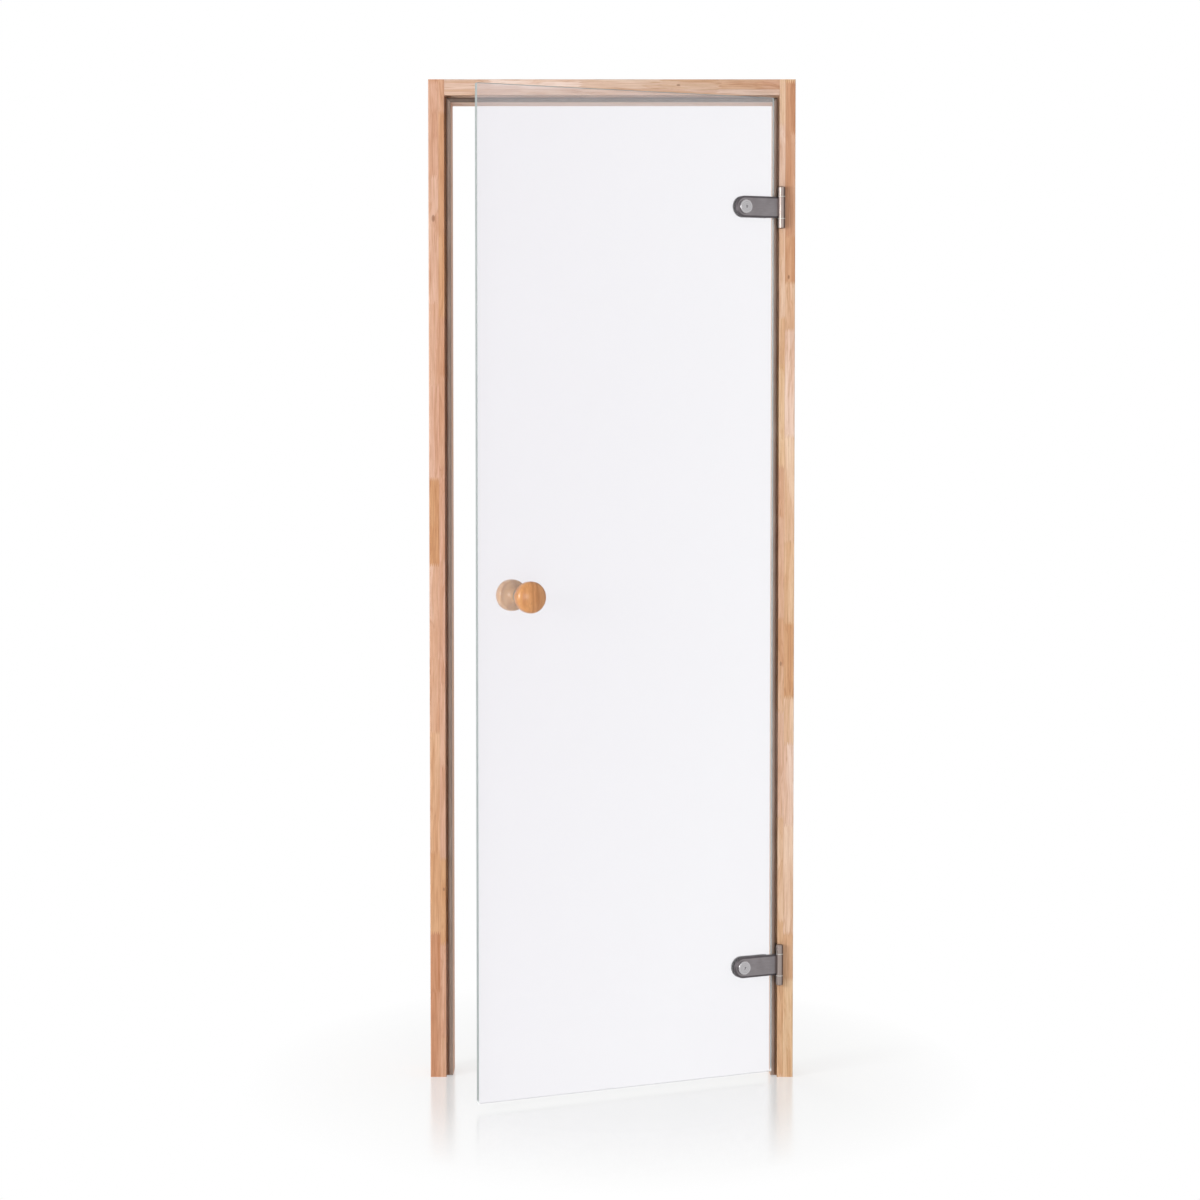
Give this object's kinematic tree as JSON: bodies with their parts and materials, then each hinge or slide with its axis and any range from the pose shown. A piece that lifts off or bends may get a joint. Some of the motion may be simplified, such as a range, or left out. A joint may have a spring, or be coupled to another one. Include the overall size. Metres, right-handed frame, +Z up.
{
  "type": "sauna door",
  "caption": "Clear glass sauna door ajar on two strap hinges in a wooden frame without a threshold, with a turned wooden knob on each face.",
  "frame": {"origin": "on the hinge jamb's outer side face, at floor level and at half the frame's depth", "axes": "+X to the right seen from outside the sauna, out of the hinge jamb into the wall; +Y into the sauna; +Z up"},
  "size_m": [0.69, 0.3958, 1.89],
  "materials": {
    "frame_wood": "planed pale wood, finger-jointed strips with a few small knots, satin",
    "knob_wood": "turned and varnished wood, warm orange-brown, semi-gloss",
    "clear_glass": "clear toughened glass with polished grey-green edges",
    "hinge_steel": "satin grey steel with bevelled rims",
    "screw_steel": "plain bright steel",
    "seal_rubber": "matt brown-grey bulb seal",
    "gasket_rubber": "matt dark gasket sheet",
    "pale_nylon": "natural nylon"
  },
  "bodies": {
    "frame": {"hinge_jamb": "frame_wood", "latch_jamb": "frame_wood", "head_rail": "frame_wood", "hinge_jamb_seal": "seal_rubber", "latch_jamb_seal": "seal_rubber", "head_seal": "seal_rubber", "hinge_side_corner_screws": "screw_steel", "latch_side_corner_screws": "screw_steel", "lower_hinge_frame_plate": "hinge_steel", "lower_hinge_frame_screws": "screw_steel", "lower_hinge_pin": "hinge_steel", "lower_hinge_washers": "pale_nylon", "upper_hinge_frame_plate": "hinge_steel", "upper_hinge_frame_screws": "screw_steel", "upper_hinge_pin": "hinge_steel", "upper_hinge_washers": "pale_nylon"},
    "leaf": {"glass_leaf": "clear_glass", "outer_knob": "knob_wood", "inner_knob": "knob_wood", "outer_knob_washer": "pale_nylon", "inner_knob_washer": "pale_nylon", "knob_stud": "screw_steel", "lower_hinge_strap": "hinge_steel", "lower_hinge_front_gasket": "gasket_rubber", "lower_hinge_back_gasket": "gasket_rubber", "lower_hinge_back_plate": "hinge_steel", "lower_hinge_bush": "pale_nylon", "lower_hinge_clamp_screw": "hinge_steel", "lower_hinge_clamp_nut": "hinge_steel", "upper_hinge_strap": "hinge_steel", "upper_hinge_front_gasket": "gasket_rubber", "upper_hinge_back_gasket": "gasket_rubber", "upper_hinge_back_plate": "hinge_steel", "upper_hinge_bush": "pale_nylon", "upper_hinge_clamp_screw": "hinge_steel", "upper_hinge_clamp_nut": "hinge_steel"}
  },
  "joints": [
    {"name": "leaf_swing", "type": "hinge", "parent": "frame", "child": "leaf", "pos_m": [-0.026, -0.0535, 0], "axis": [0, 0, 1], "range_deg": [-27.5, 137.5]}
  ]
}
